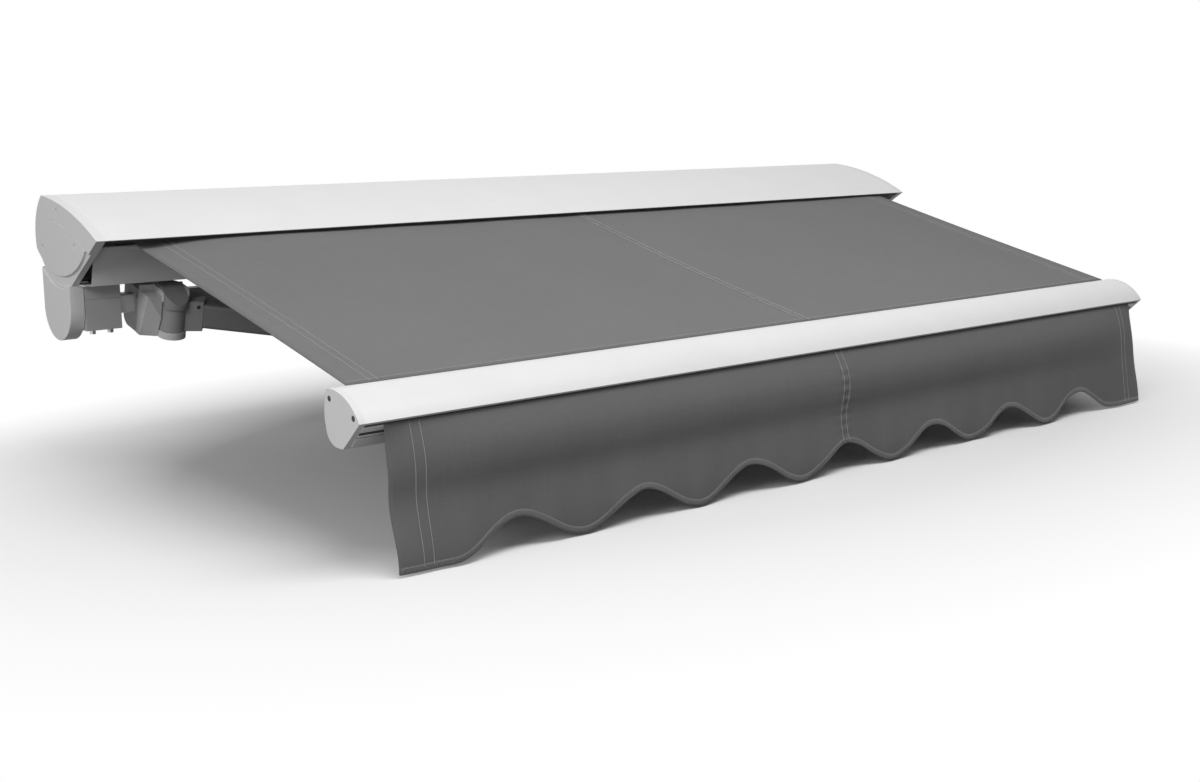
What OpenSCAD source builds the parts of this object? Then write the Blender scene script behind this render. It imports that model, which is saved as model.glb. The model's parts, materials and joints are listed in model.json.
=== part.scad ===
// Folding-arm awning with a closed cassette, drawn with its arms partly out.
// X runs along the width, Y back to the wall, Z up. The origin is the centre of the
// wall bolts on the wall plane. Cassette and bar sections are drawn from their lips.

/* [Cassette] */
// Overall width over the cassette's end caps
cassette_w = 2500; // [2100:10:3500]
// Depth of the cassette from its lip to its back
cassette_d = 308; // [304:1:314]
// Distance of the top rear corner behind the lip
corner_y = 265.5; // [262:0.5:270]
// Height of the top rear corner above the lip
corner_z = 76.6; // [72:0.2:80]
// Depth of the cassette's belly below the lip
belly_z = 108; // [104:0.5:112]
// Distance of the mouth's lower end behind the lip
mouth_y = 150; // [146:0.5:156]
// Depth of the mouth's lower end below the lip
mouth_z = 101; // [98:0.5:104]
// Radius of the top cover's arc
top_r = 670; // [600:5:760]
// Radius of the back
back_r = 110; // [106:0.5:116]
// Radius of the belly
belly_r = 130; // [126:0.5:136]
// Wall of the cassette profiles
cassette_wall = 2.5; // [1.8:0.1:3.2]
// Thickness of an end cap's plate
cap_t = 14; // [8:0.5:20]
// Height of an end cap's raised face
cap_face_t = 6; // [3:0.5:9]
// Depth of the spigot that an end cap pushes into the profiles
cap_spigot = 22; // [12:1:34]
// Diameter of the end cap screws
cap_screw_d = 6; // [4:0.5:8]
// Distance of the lower shell's nose behind the lip, along the slope
nose_s = 87; // [86:0.2:92]
// Depth of the nose's rim below the cloth's slope
nose_top = 44; // [40:1:60]
// Radius of the nose's rounded rim
rim_r = 4; // [3:0.5:6]
// Distance of the lower shell's nose from the end caps
nose_end = 14; // [8:1:20]
// Height of the soft strip under the lip
seal_h = 6; // [3:0.5:6.5]
// Height of the band under an end cap's raised face
cap_band = 25; // [15:1:35]
// Radius of the raised face's lower edge
cap_face_r = 168; // [150:1:180]
// Radius of the curved groove in an end cap
groove_r = 657; // [500:1:800]
// Depth of the curved groove
groove_deep = 2; // [1:0.5:4]

/* [Fall and reach] */
// Fall of the cloth, in degrees
pitch = 14; // [12:0.5:15]
// Distance of the wall behind the lip
wall_y = 320; // [317:1:340]
// Depth of the wall bolts' centre below the lip
wall_z = 140; // [136:0.5:144]
// Reach of the front bar's tip along the slope, as drawn
reach = 861; // [500:1:1100]
// Depth of the front bar's tip below the cloth's slope
bar_tip_n = 30.2; // [29.8:0.1:32]

/* [Front bar] */
// How far the front bar stops short of the cassette's end at each side
bar_side = 63; // [44:1:80]
// Depth of the front bar's body to its back
bar_d = 105.9; // [104:0.1:108]
// Distance of the bar's top corner behind its tip
bar_corner_y = 97.5; // [96:0.1:99]
// Height of the bar's top corner above its tip
bar_corner_z = 45.2; // [44.6:0.1:46]
// Depth of the bar's flat underside below its tip
bar_drop = 49.6; // [47:0.1:52]
// Angle of the bar's cut front face below level
bar_cut = 44; // [42:0.5:46]
// Radius of the bar's top
bar_top_r = 99.3; // [96:0.1:104]
// Radius of the bar's back
bar_back_r = 100; // [96:0.1:110]
// Radius of the bar's rear bottom edge
bar_foot_r = 34; // [30:0.5:36]
// Wall of the front bar profile
bar_wall = 2.2; // [1.6:0.1:3]
// Thickness of a front bar end cap
bar_cap_t = 12; // [8:0.5:20]
// Radius of the keder grooves
keder_r = 4; // [3.2:0.1:4.4]
// Width of the keder grooves' slots
slot_w = 2.6; // [2:0.1:3.4]
// Distance of the front keder groove from the bar's tip, down the cut face
groove_at = 28; // [26:0.5:30]
// Distance between the two grooves of the cut face
groove_step = 20; // [18:0.5:22]
// Radius of the front bar's cap screws
bar_screw_r = 2.5; // [2:0.1:3]

/* [Cloth] */
// How far the cloth stops short of the cassette's end at each side
cloth_side = 98.5; // [90:0.5:130]
// Thickness of the cloth's solid
cloth_t = 1; // [0.8:0.1:1.4]
// Radius of the roller tube
roller_r = 39; // [36:0.5:42]
// Wall of the roller tube
roller_wall = 1.6; // [1.2:0.1:2.5]
// Length of the roller tube past each edge of the cloth
roller_over = 30; // [20:1:36]
// Radius of the motor
motor_r = 22.5; // [20:0.5:25]
// Length of the motor
motor_l = 700; // [500:10:900]
// Length of the motor's head with its mount
head_l = 32; // [24:1:36]
// Thickness of the roller's end mounts
mount_t = 8; // [5:0.5:12]
// Radius of the roller's shafts
shaft_r = 6; // [5:0.5:8]
// Radius of the idler's bearing
bearing_r = 16; // [13:0.5:20]
// Radius of the roller with its turns of cloth
roll_r = 44; // [43:0.2:44.4]
// Distance of the roller's axis behind the lip
roller_y = 178; // [174:0.5:182]
// Depth of the roller's axis below the lip
roller_z = 10; // [9.6:0.1:12]
// How far the valance stops short of the cloth's edge at each side
valance_side = 15; // [0:1:40]
// Depth of the valance, from the groove to its lobes
valance_h = 252; // [200:1:300]
// Thickness of the valance's solid
valance_t = 2; // [1.2:0.1:3]
// Pitch of the scallops
scallop_pitch = 291; // [240:1:340]
// Depth of a notch between two scallops
scallop_h = 50; // [30:1:70]
// Shift of the middle notch from the centre
scallop_shift = 28; // [0:1:60]
// How far the valance leans forward over its top part
valance_lean = 22; // [5:1:26]
// Depth of the valance's leaning top part
valance_roll = 100; // [60:1:160]
// How far the rest of the valance leans forward
valance_slant = 13; // [0:1:20]

/* [Arms] */
// Length of an arm's limb between its pivots
limb = 810; // [700:1:1000]
// Distance of each shoulder from the cassette's end
shoulder_side = 220; // [210:1:300]
// Distance of the shoulders behind the lip, along the slope
shoulder_s = 100; // [98:0.5:102]
// Depth of the arms' middle below the cloth's slope
arm_n = 207; // [204:0.5:212]
// Distance of the front pivots behind the front bar's tip
front_pivot = 66; // [64:0.5:68]
// Height of the arm tubes
tube_h = 56; // [48:1:62]
// Width of the arm tubes
tube_w = 40; // [32:1:40]
// Wall of the arm tubes
tube_wall = 2.5; // [1.8:0.1:3.5]
// Sideways offset of the tubes from the line between the pivots
tube_shift = 22; // [21.4:0.1:23]
// Height of the knuckles
knuckle_h = 66; // [60:1:70]
// Radius of the shoulder knuckles
shoulder_r = 28; // [24:0.5:29]
// Radius of the ears around the shoulder knuckles
ear_r = 31; // [30:0.5:31.5]
// Radius of the elbow knuckles
elbow_r = 28; // [24:0.5:29]
// Radius of the front knuckles
front_r = 20; // [18:0.5:21]
// Radius of the ears around the front knuckles
front_ear_r = 22; // [21:0.5:23]
// Length of a casting's neck from its pivot to the tube
neck = 62; // [58:1:70]
// Radius of the pivot pins
pin_r = 8; // [6:0.5:9]
// Length of the spigots that the castings push into the tubes
spigot_l = 30; // [20:1:50]
// Length of an arm's tension spring
spring_l = 420; // [300:10:450]
// Bore of the tension spring, as a radius
spring_bore = 11; // [9.6:0.1:13]
// Height of the tension strap
strap_h = 14; // [10:0.5:16]
// Thickness of the tension strap
strap_t = 3; // [2:0.1:4]

/* [Supports] */
// Side of the square torsion bar
bar_sq = 40; // [36:0.5:40]
// Distance of the torsion bar's centre behind the lip
torsion_y = 217; // [215:0.5:219]
// Depth of the torsion bar's centre below the lip
torsion_z = 152; // [151:0.5:154]
// Thickness of the covers over the torsion bar's ends
cover_t = 31; // [24:1:34]
// Width of a wall bracket
bracket_w = 76; // [60:1:80]
// Thickness of a wall bracket's plate
plate_t = 8; // [6:0.5:10]
// Distance between the two wall bolts of a bracket
bolt_gap = 90; // [86:1:94]
// Diameter of the wall bolt holes
bolt_d = 11; // [9:0.5:13]
// Thickness of the upper ears that hold the shoulder pins
ear_t = 24; // [18:0.5:25]
// Thickness of the lower ears that hold the shoulder pins
low_ear_t = 16; // [12:0.5:24]
// Thickness of the ears that hold the elbow and front pins
small_ear_t = 12; // [9:0.5:14]
// Distance of the cassette's hanging rib behind the lip
hook_y = 262; // [261:0.5:268]
// Thickness of the hanging rib
hook_t = 6; // [4:0.5:8]
// Depth of the hanging rib's edge below the lip
hook_z = 119; // [114:0.5:122]
// Distance of the clamps' rear face behind the lip
clamp_back = 257; // [252:1:264]
// Depth of the clamps' underside below the lip
clamp_low = 196; // [190:1:200]
// Radius of the clamps' bolts
clamp_bolt_r = 4; // [3:0.5:5]
// Length of the clamps' bolts with their heads
clamp_bolt_l = 90; // [80:1:92]
// Height of the wall brackets' jaw over the torsion bar
jaw_h = 24; // [20:1:26]
// Depth of the thicker front part of the jaw
jaw_block_d = 90; // [70:1:95]
// Height of the thicker front part of the jaw
jaw_block_h = 44; // [36:1:48]
// Depth of the wall brackets' rear leg below the jaw
leg_h = 28; // [20:1:32]
// How far a wall bracket's plate reaches past its bolts, in all
plate_over = 65; // [50:1:70]
// Radius of the covers' round end
cover_r = 67; // [60:0.5:68]
// Wall of the covers
cover_wall = 4; // [2:0.5:6]
// Distance of the arm brackets' outer face from the shoulder pin
cheek_out = 62; // [58:1:66]
// Distance of the shoulder blocks' cheek in front of their seat
cheek_d = 47; // [40:1:52]
// Turn of the cheek's slanted facet about the upright
facet_turn = 26; // [20:1:34]
// Tilt of the cheek's slanted facet from the upright
facet_tilt = 16; // [10:1:20]
// Depth of the arm brackets' top below the cloth's slope
block_top = 160; // [158:0.5:163]
// Depth of the arm brackets' block along the slope
block_d = 66; // [60:1:72]
// Height of the arm brackets' block
block_h = 96; // [92:1:98]
// Radius of the bolts between bracket and shoulder block
block_bolt_r = 4; // [3:0.5:4.5]
// Height of the hoods over the shoulder blocks' ears
hood_t = 6; // [5:0.5:6.5]
// Radius of the hoods' arched back
hood_r = 60; // [58:1:64]
// Distance of the hoods' highest line behind the shoulder pins
hood_peak = 20; // [14:0.5:21]
// Wall of the hoods
hood_wall = 3; // [2:0.5:3]
// Width of the hoods
hood_w = 48; // [40:1:48]
// Length of the hoods' skirt below the ears' top
hood_drop = 38; // [30:1:40]
// Width of the drop brackets' hanger plates
hanger_w = 64; // [50:1:66]
// Thickness of the drop brackets' hanger plates
hanger_t = 10; // [6:0.5:11]
// Thickness of the drop brackets' feet
foot_t = 7; // [5:0.5:10]

/* [Hidden] */
$fn = 64;
run_gap = 0.05;  // radial running clearance of a pin
fit_gap = 0.02;  // radial clearance of a pin held in its own body
seat_gap = 0.3;  // gap between pieces that seat without being clamped
turn_gap = 0.5;  // end gap between parts that turn on each other
far = 400;       // larger than any section

lip = [0, -wall_y, wall_z];
bar_w = cassette_w - 2 * bar_side;
cloth_w = cassette_w - 2 * cloth_side;
valance_w = cloth_w - 2 * valance_side;
shoulder_x = cassette_w / 2 - shoulder_side;
notches = floor((valance_w / 2 - scallop_shift - 100) / scallop_pitch);
groove_from = [50, -26.6];
groove_to = [218, 31];
screw_head_t = 3;
cap_screws = [[108, -18], [188, 48], [272, -30]];
nose_wall = cassette_wall;
top_c = arc_centre([0, 0], [corner_y, corner_z], top_r);
back_c = [cassette_d - back_r, corner_z - side(back_r, corner_y - cassette_d + back_r)];
belly_c = [mouth_y + side(belly_r, belly_r - belly_z + mouth_z), belly_r - belly_z];
split_y = back_c[0] + 24;
split_lap = 12;
cap_x = cassette_w / 2 - cap_t - cap_face_t;
roller_c = [roller_y, -roller_z];
roller_sn = to_slope(roller_c);
tube_x = cloth_w / 2 + roller_over;
head_x = cap_x - head_l;

bar_top_c = arc_centre([0, 0], [bar_corner_y, bar_corner_z], bar_top_r);
bar_back_c = [bar_d - bar_back_r, bar_corner_z - side(bar_back_r, bar_corner_y - bar_d + bar_back_r)];
bar_foot_c = [bar_back_c[0] + side(bar_back_r - bar_foot_r, bar_foot_r - bar_drop - bar_back_c[1]),
              bar_foot_r - bar_drop];
bar_cap_x = bar_w / 2 - bar_cap_t;
keder_in = keder_r + 2.2;
tip_screw = [8.4, 17.5];
bar_corner = [bar_corner_y, bar_corner_z];
keder_top = bar_corner - (keder_r + 1.9) * [1.3, 1];
keder_turn = 90 + atan2(1, 1.3);

cloth_n = roller_sn[1] + roll_r + seat_gap;
cloth_back = roller_sn[0];
bar_tip = [-reach, -bar_tip_n];
cloth_front = to_slope(bar_corner)[0] - reach - 2;

front_s = front_pivot - reach;
fold_a = acos((shoulder_s - front_s) / (2 * limb));
elbow_pos = [-shoulder_x + limb * sin(fold_a), (shoulder_s + front_s) / 2];
upper_a = fold_a - 90;
fore_a = 270 - fold_a;
knuckle_top = knuckle_h / 2 - arm_n;
knuckle_low = -knuckle_h / 2 - arm_n;
small_ear_r = elbow_r + 2;
ear_top = knuckle_top + turn_gap + ear_t;
ear_low = knuckle_low - turn_gap - low_ear_t;
set_screw_r = 6;
set_screw_deep = 26;
clamp_head_h = 9;
web_s = shoulder_s + ear_r + 2;
block_s = web_s + 6;
clear_x = small_ear_r + 14;
tongue_h = knuckle_h - 2 * small_ear_t - 2 * turn_gap;

torsion_c = [torsion_y, -torsion_z];
torsion_half = bar_sq / 2;
jaw_z = torsion_half - torsion_z + 0.5;
bracket_x = cassette_w / 2 - cover_t - 1 - bracket_w / 2;

steel = "silver";
white = "whitesmoke";
light_grey = "lightgray";
arm_grey = "gainsboro";
cloth_grey = "gray";

// Leg of a right triangle with hypotenuse r and other leg d.
function side(r, d) = sqrt(r * r - d * d);
// Centre of the circle of radius r through p and q, on the right of the way from p to q.
function arc_centre(p, q, r) =
    let (v = q - p, half = norm(v) / 2)
    (p + q) / 2 + side(r, half) * [v[1], -v[0]] / norm(v);
// A point of the section (back, up) given in the slope's own axes, and the way back.
function to_slope(p) = [p[0] * cos(pitch) + p[1] * sin(pitch), p[1] * cos(pitch) - p[0] * sin(pitch)];
function from_slope(p) = [p[0] * cos(pitch) - p[1] * sin(pitch), p[0] * sin(pitch) + p[1] * cos(pitch)];

// A section drawn as (back, up) from the cassette's lip, run along the width.
module along(length, x = 0) {
    translate(lip + [x, 0, 0]) rotate([90, 0, 90])
        linear_extrude(length, center = true) children();
}

// The slope's frame: Y back up the slope and Z square to the cloth.
module slope_frame() {
    translate(lip) rotate([pitch, 0, 0]) children();
}

// The front bar's frame, at its tip, with its section level.
module bar_along(length, x = 0) {
    tip = from_slope(bar_tip);
    translate(lip + [x, tip[0], tip[1]]) rotate([90, 0, 90])
        linear_extrude(length, center = true) children();
}

// Rectangle of w by h about the origin with round corners.
module rounded_rect(w, h, r) {
    square([w - 2 * r, h], center = true);
    square([w, h - 2 * r], center = true);
    for (x = [-1, 1], y = [-1, 1])
        translate([x * (w / 2 - r), y * (h / 2 - r)]) circle(r = r);
}

// The part of a section behind a line, and the part in front of it.
module behind(y) {
    translate([y, -far]) square([2 * far, 2 * far]);
}
module before(y) {
    translate([y - 2 * far, -far]) square([2 * far, 2 * far]);
}
module above(z) {
    translate([-far, z]) square([3 * far, far]);
}

// The cassette's outline: top arc, back, belly, and the mouth's slanted cut in front.
module cassette_outline() {
    intersection() {
        translate(top_c) circle(r = top_r, $fn = 360);
        union() {
            polygon([[0, 0], [mouth_y, -mouth_z], [mouth_y + 1, -mouth_z],
                     [mouth_y + 1, far], [0, far]]);
            belly_and_back(0);
        }
    }
}

// The belly and the back, w inside the outline.
module belly_and_back(w) {
    intersection() {
        translate(belly_c) circle(r = belly_r - w, $fn = 180);
        behind(mouth_y);
        before(back_c[0] + 1);
    }
    intersection() {
        translate(belly_c) circle(r = belly_r - w, $fn = 180);
        translate(back_c) circle(r = back_r - w, $fn = 180);
        behind(back_c[0]);
    }
}

// The space w inside the cassette's walls, which runs out through its mouth.
module cassette_cavity(w) {
    intersection() {
        translate(top_c) circle(r = top_r - w, $fn = 360);
        union() {
            translate([-60, -far / 2]) square([mouth_y + 61, far]);
            belly_and_back(w);
        }
    }
}

// The layer of the section between a and b inside the outline.
module cassette_ring(a, b) {
    difference() {
        intersection() {
            cassette_outline();
            cassette_cavity(a);
        }
        difference() {
            cassette_cavity(b);
            below_mouth_cut(b);
        }
    }
}

// Below the belly's wall the cavity stops, so that the ring keeps its floor.
module below_mouth_cut(w) {
    translate([mouth_y, -far]) square([1, far - mouth_z + w]);
}

// The rear profile: back wall, laps under both front profiles, and the hanging rib.
module cassette_back_profile() {
    lap_in = cassette_wall + 0.15;
    color(white) {
        along(2 * cap_x) {
            intersection() {
                cassette_ring(0, cassette_wall);
                behind(split_y);
            }
            intersection() {
                cassette_ring(cassette_wall - 0.5, 2 * cassette_wall);
                behind(split_y);
                before(split_y + split_lap);
            }
            intersection() {
                cassette_ring(lap_in, 2 * cassette_wall);
                behind(split_y - split_lap);
                before(split_y + 1);
            }
        }
        along(2 * (cassette_w / 2 - cover_t - 1)) intersection() {
            translate([hook_y, -far]) square([hook_t, far - 20]);
            above(-hook_z);
            difference() {
                square(far * 2, center = true);
                cassette_cavity(cassette_wall / 2);
            }
        }
    }
}

// The curved top cover, from the lip to the joint over the roller.
module cassette_top_cover() {
    color(white) along(2 * cap_x) intersection() {
        cassette_ring(0, cassette_wall);
        before(split_y - 0.2);
        above(-belly_z / 2);
    }
}

// The lower shell: belly, floor and upright nose with its rounded rim.
module cassette_lower_shell() {
    nose_in = nose_s + 1;
    foot_n = (-mouth_z - nose_in * sin(pitch)) / cos(pitch);
    foot = from_slope([nose_in, foot_n]);
    color(white) {
        along(2 * cap_x) {
            difference() {
                intersection() {
                    cassette_ring(0, cassette_wall);
                    before(split_y - 0.2);
                }
                above(-belly_z / 2);
            }
            polygon([foot, [mouth_y + 2, -mouth_z], [mouth_y + 2, nose_wall - mouth_z],
                     [foot[0] + 1, nose_wall - mouth_z]]);
        }
        along(2 * (cap_x - nose_end)) rotate(pitch) {
            difference() {
                translate([nose_in, foot_n - far]) square([nose_wall, far - foot_n - nose_top - rim_r]);
                rotate(-pitch) translate([-far, -mouth_z - 2 * far]) square([3 * far, 2 * far]);
            }
            translate([nose_s + rim_r, -nose_top - rim_r]) circle(r = rim_r);
        }
    }
}

// The soft strip under the lip.
module cassette_lip_seal() {
    color("dimgray") along(2 * cap_x - 1) intersection() {
        cassette_ring(cassette_wall + 0.1, cassette_wall + seal_h);
        behind(8);
        before(18);
    }
}

// The right end cap: plate, raised face with its curved groove over a lower band, spigot, screw holes.
module end_cap() {
    face_c = [belly_c[0] - 5, cap_face_r - belly_z + cap_band];
    groove_c = arc_centre(groove_from, groove_to, groove_r);
    color(light_grey) difference() {
        union() {
            along(cap_t, cap_x + cap_t / 2) cassette_outline();
            along(cap_face_t + 1, cassette_w / 2 - cap_face_t / 2 - 0.5) difference() {
                cassette_outline();
                difference() {
                    translate(groove_c) circle(r = groove_r, $fn = 360);
                    translate(face_c) circle(r = cap_face_r, $fn = 180);
                }
            }
            along(cap_spigot + 1, cap_x - cap_spigot / 2 + 0.5) intersection() {
                cassette_ring(2 * cassette_wall + seat_gap, 2 * cassette_wall + 3);
                behind(mouth_y + 3);
            }
        }
        along(4, cassette_w / 2 + 2 - groove_deep) intersection() {
            difference() {
                translate(groove_c) circle(r = groove_r + 1.5, $fn = 360);
                translate(groove_c) circle(r = groove_r - 1.5, $fn = 360);
            }
            behind(0);
            before(groove_to[0]);
        }
        cap_screw_places() cap_screw_bore();
    }
}

module cassette_end_cap_right() {
    end_cap();
}
module cassette_end_cap_left() {
    mirror([1, 0, 0]) end_cap();
}

// Three screws hold each cap, into the profiles' screw channels.
module cap_screw_places() {
    for (p = cap_screws)
        translate(lip + [cassette_w / 2, p[0], p[1]]) rotate([0, 90, 0]) children();
}
module cap_screw_bore() {
    translate([0, 0, -cap_t - cap_face_t - 1])
        cylinder(h = cap_t + cap_face_t + 2, d = cap_screw_d + 2 * fit_gap);
    translate([0, 0, -screw_head_t - 1]) cylinder(h = 4, r = cap_screw_d + 0.3);
}
module cap_screw() {
    color(steel) difference() {
        union() {
            translate([0, 0, -screw_head_t - 1]) cylinder(h = screw_head_t, r = cap_screw_d);
            translate([0, 0, -cap_t - cap_face_t - 8]) cylinder(h = cap_t + cap_face_t + 5, d = cap_screw_d);
        }
        translate([0, 0, -screw_head_t + 1]) cylinder(h = 3, r = cap_screw_d / 3, $fn = 6);
    }
}
module end_cap_screws() {
    for (side_x = [0, 1]) mirror([side_x, 0, 0]) cap_screw_places() cap_screw();
}

// A round part on the roller's axis from x over a length to the right.
module on_roller(x, length, r) {
    translate(lip + [x, roller_c[0], roller_c[1]]) rotate([0, 90, 0]) cylinder(h = length, r = r);
}

module roller_tube() {
    color(steel) difference() {
        on_roller(-tube_x, 2 * tube_x, roller_r);
        on_roller(-tube_x - 1, 2 * tube_x + 2, roller_r - roller_wall);
        translate(lip + [0, roller_c[0], roller_c[1] - roller_r])
            cube([2 * tube_x + 2, slot_w, 2 * roller_wall + 2], center = true);
    }
}
module cloth_roll() {
    color(cloth_grey) difference() {
        on_roller(-cloth_w / 2, cloth_w, roll_r);
        on_roller(-cloth_w / 2 - 1, cloth_w + 2, roller_r + seat_gap / 2);
    }
}

// The motor's housing, fixed in the head at the right end.
module motor_body() {
    color(steel) difference() {
        on_roller(head_x - motor_l, motor_l, motor_r);
        on_roller(head_x - motor_l - 1, 25, shaft_r + run_gap);
    }
}
module motor_head() {
    color("dimgray") {
        difference() {
            on_roller(cap_x - mount_t, mount_t, roller_r + 6);
            cap_screw_places() cap_screw_bore();
        }
        on_roller(head_x, cap_x - mount_t - head_x, motor_r + 7);
    }
}
module drive_adapter() {
    color("dimgray") {
        on_roller(head_x - motor_l - 22, 20, roller_r - roller_wall - fit_gap);
        on_roller(head_x - motor_l - 3, 22, shaft_r);
    }
}
module crown_ring() {
    color("dimgray") difference() {
        on_roller(tube_x - 22, 20, roller_r - roller_wall - fit_gap);
        on_roller(tube_x - 23, 22, motor_r + run_gap);
    }
}
module idler_plug() {
    color("dimgray") difference() {
        on_roller(-tube_x, 32, roller_r - roller_wall - fit_gap);
        on_roller(-tube_x - 1, 14, bearing_r + fit_gap);
        on_roller(-tube_x - 1, 34, shaft_r + 2);
    }
}
module idler_bearing() {
    color(steel) difference() {
        on_roller(-tube_x + 1, 12, bearing_r);
        on_roller(-tube_x, 14, shaft_r + run_gap);
    }
}
module idler_bracket() {
    color("dimgray") {
        on_roller(-cap_x, mount_t, roller_r + 6);
        on_roller(mount_t - cap_x - 1, cap_x - mount_t - tube_x, shaft_r + 6);
        on_roller(mount_t - cap_x - 1, cap_x - mount_t - tube_x + 24, shaft_r);
    }
}

// The wall bracket: plate, jaw under the cassette with a slot for its rib, rear leg.
module wall_bracket() {
    plate_h = bolt_gap + plate_over;
    plate_y = wall_y - plate_t;
    color(light_grey) difference() {
        along(bracket_w, bracket_x) difference() {
            union() {
                translate([plate_y, -wall_z - plate_h / 2]) square([plate_t, plate_h]);
                translate([mouth_y, jaw_z]) square([plate_y - mouth_y + 1, jaw_h]);
                translate([mouth_y, jaw_z]) square([jaw_block_d, jaw_block_h]);
                translate([clamp_back + seat_gap, jaw_z - leg_h]) square([plate_y - clamp_back, leg_h + 1]);
            }
            belly_and_back(-seat_gap);
            translate([hook_y - seat_gap, -hook_z - seat_gap]) square([hook_t + 2 * seat_gap, far]);
        }
        wall_bolt_places() cylinder(h = 3 * plate_t, d = bolt_d, center = true);
        clamp_bolt_places() cylinder(h = clamp_bolt_l + 1, r = clamp_bolt_r + fit_gap);
    }
}
module wall_bracket_right() {
    wall_bracket();
}
module wall_bracket_left() {
    mirror([1, 0, 0]) wall_bracket();
}
module wall_bolt_places() {
    for (z = [-1, 1])
        translate([bracket_x, -plate_t / 2, z * bolt_gap / 2]) rotate([90, 0, 0]) children();
}
module clamp_bolt_places() {
    for (x = [-1, 1])
        translate(lip + [bracket_x + x * bracket_w / 4, mouth_y + 16, -clamp_low - clamp_head_h]) children();
}

// The clamp that holds the torsion bar up into the jaw.
module bracket_clamp() {
    color(light_grey) difference() {
        along(bracket_w, bracket_x) difference() {
            translate([mouth_y, -clamp_low]) square([clamp_back - mouth_y, clamp_low + jaw_z - seat_gap]);
            translate([torsion_c[0] - torsion_half - seat_gap, torsion_c[1] - torsion_half - seat_gap])
                square([bar_sq + 2 * seat_gap, 2 * bar_sq]);
        }
        clamp_bolt_places() cylinder(h = 2 * clamp_bolt_l, r = clamp_bolt_r + fit_gap, center = true);
    }
}
module bracket_clamp_right() {
    bracket_clamp();
}
module bracket_clamp_left() {
    mirror([1, 0, 0]) bracket_clamp();
}
module clamp_bolts() {
    color(steel) for (side_x = [0, 1]) mirror([side_x, 0, 0]) clamp_bolt_places() {
        cylinder(h = clamp_bolt_l, r = clamp_bolt_r);
        cylinder(h = clamp_head_h, r = 1.7 * clamp_bolt_r, $fn = 6);
    }
}

module torsion_bar() {
    color(steel) along(cassette_w - 2 * (cover_wall + seat_gap)) translate(torsion_c) difference() {
        rounded_rect(bar_sq, bar_sq, 3);
        square(bar_sq - 6, center = true);
    }
}

// The cover over a torsion bar's end: a round-bottomed cup with a collar for the bar.
module cover_section(w) {
    difference() {
        union() {
            translate(torsion_c) circle(r = cover_r - w, $fn = 128);
            translate([torsion_c[0] - cover_r + w, torsion_c[1]])
                square([2 * (cover_r - w), torsion_z - 60]);
        }
        belly_and_back(-w - seat_gap);
    }
}
module end_cover() {
    inner_x = cassette_w / 2 - cover_t;
    color(light_grey) {
        difference() {
            along(cover_t, inner_x + cover_t / 2) cover_section(0);
            along(cover_t, inner_x + cover_t / 2 - cover_wall) cover_section(cover_wall);
        }
        along(cover_t - 1, inner_x + cover_t / 2 + 0.5) translate(torsion_c) difference() {
            square(bar_sq + 8, center = true);
            square(bar_sq + 2 * seat_gap, center = true);
        }
    }
}
module bar_end_cover_right() {
    end_cover();
}
module bar_end_cover_left() {
    mirror([1, 0, 0]) end_cover();
}

// The arm bracket: a block on the torsion bar with its rear corner rounded off.
module arm_bracket() {
    corner_r = 26;
    width = cheek_out + ear_r + 4;
    color(arm_grey) difference() {
        along(width, -shoulder_x - cheek_out + width / 2) rotate(pitch)
            translate([block_s, -block_top - block_h]) {
                translate([0, corner_r]) square([block_d, block_h - corner_r]);
                square([block_d - corner_r, block_h]);
                translate([block_d - corner_r, corner_r]) circle(r = corner_r);
            }
        along(2 * cassette_w) translate(torsion_c) square(bar_sq + 0.2, center = true);
        slope_frame() block_bolt_places() cylinder(h = block_d + 21, r = block_bolt_r + fit_gap);
        slope_frame() set_screw_place() translate([0, 0, -1])
            cylinder(h = set_screw_deep + 1, r = set_screw_r);
    }
}
module set_screw_place() {
    translate([-shoulder_x - cheek_out, block_s + set_screw_r + 1, -block_top - 16])
        rotate([0, 90, 0]) children();
}
module block_bolt_places() {
    for (n = [-block_top - 8, -block_top - block_h + 10])
        translate([-shoulder_x - ear_r - 16, block_s + block_d + 6, n]) rotate([90, 0, 0]) children();
}
module arm_bracket_left() {
    arm_bracket();
}
module arm_bracket_right() {
    mirror([1, 0, 0]) arm_bracket();
}
module block_bolts() {
    color(steel) for (side_x = [0, 1]) mirror([side_x, 0, 0]) slope_frame() {
        block_bolt_places() {
            cylinder(h = block_d + 20, r = block_bolt_r);
            cylinder(h = 5.9, r = 1.8 * block_bolt_r, $fn = 6);
        }
        set_screw_place() translate([0, 0, 10]) cylinder(h = set_screw_deep - 10, r = set_screw_r - fit_gap);
    }
}

// The shoulder block: two ears for the pin, the web behind them, and a cheek with its facet.
module shoulder_block() {
    color(arm_grey) slope_frame() difference() {
        union() {
            intersection() {
                union() {
                    translate([-shoulder_x, shoulder_s, ear_top - ear_t])
                        linear_extrude(ear_t) ear_plan(ear_r);
                    translate([-shoulder_x - cheek_out + 1, web_s, ear_low])
                        cube([cheek_out + ear_r + 3, block_s - web_s, ear_top - ear_low]);
                }
                under_arch(hood_r - hood_wall);
            }
            translate([-shoulder_x, shoulder_s, ear_low])
                linear_extrude(low_ear_t) ear_plan(shoulder_r + 1);
            difference() {
                translate([-shoulder_x - cheek_out, block_s - cheek_d, -block_top - block_h - 1])
                    cube([cheek_out - shoulder_r - 2, cheek_d, block_h]);
                translate([-shoulder_x - cheek_out, block_s - cheek_d, -block_top - 1])
                    rotate([0, 90 + facet_tilt, -90 - facet_turn]) translate([-far, -far, 0]) cube(2 * far);
            }
        }
        translate([-shoulder_x, shoulder_s, -far]) cylinder(h = far, r = pin_r + fit_gap);
        block_bolt_places() cylinder(h = block_d + 21, r = block_bolt_r + fit_gap);
    }
}
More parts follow.
